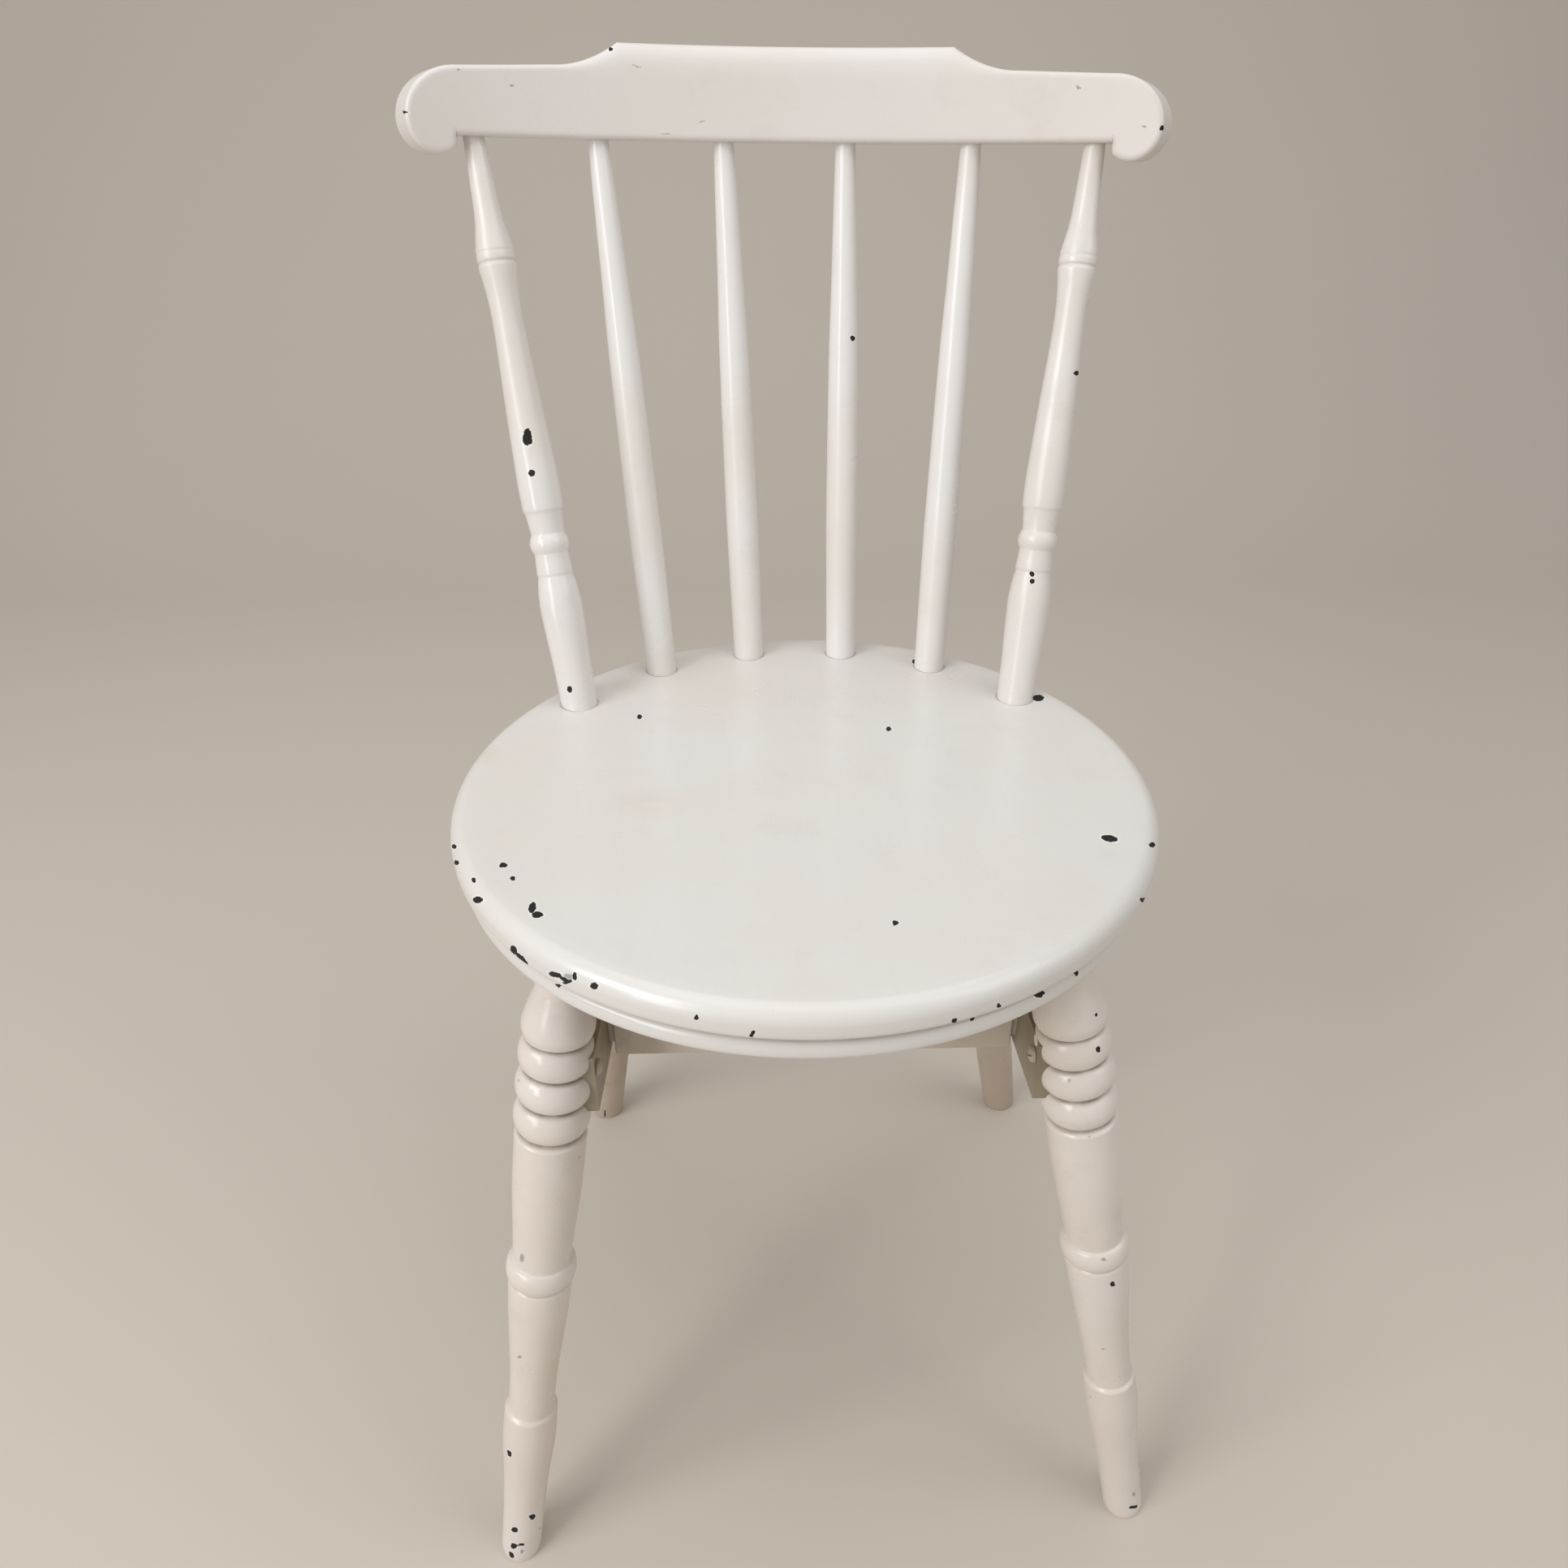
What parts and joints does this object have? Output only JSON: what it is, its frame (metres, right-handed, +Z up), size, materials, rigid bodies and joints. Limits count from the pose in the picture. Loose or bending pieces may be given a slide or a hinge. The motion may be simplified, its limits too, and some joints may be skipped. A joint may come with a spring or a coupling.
{
  "type": "stick-back kitchen chair",
  "caption": "Old painted wooden chair with a round seat, turned splayed legs and a spindle back under a curved crest rail; gloss white paint is chipped and worn.",
  "frame": {"origin": "on the floor, under the middle of the chair's bounding box", "axes": "+Z up; the chair faces -Y, its back is at +Y, and +X is the right-hand side in a front view"},
  "size_m": [0.423, 0.4102, 0.7998],
  "materials": {
    "seat_paint": "gloss white oil paint on turned wood, brushed, yellowing, chipped to dark wood",
    "crest_paint": "gloss white oil paint on a shaped board, eased edges, small chips",
    "post_paint": "gloss white oil paint on turned wood, dark chips",
    "spindle_paint": "gloss white oil paint on turned wood",
    "front_leg_paint": "gloss cream-white oil paint on turned wood, chips and scuffs",
    "rear_leg_paint": "thin cream-white oil paint on turned wood, grimy, one foot split",
    "rail_paint": "thin cream-white oil paint on sawn wood, dusty",
    "screw_paint": "steel screw painted over with cream-white oil paint"
  },
  "bodies": {
    "root": {"back_post_left": "post_paint", "back_post_right": "post_paint", "crest_rail": "crest_paint", "cross_rail_front": "rail_paint", "cross_rail_rear": "rail_paint", "front_leg_left": "front_leg_paint", "front_leg_right": "front_leg_paint", "rail_screw_front_left": "screw_paint", "rail_screw_front_right": "screw_paint", "rail_screw_rear_left": "screw_paint", "rail_screw_rear_right": "screw_paint", "rear_leg_left": "rear_leg_paint", "rear_leg_right": "rear_leg_paint", "seat": "seat_paint", "side_rail_left": "rail_paint", "side_rail_right": "rail_paint", "spindle_left_inner": "spindle_paint", "spindle_left_outer": "spindle_paint", "spindle_right_inner": "spindle_paint", "spindle_right_outer": "spindle_paint"}
  },
  "joints": []
}
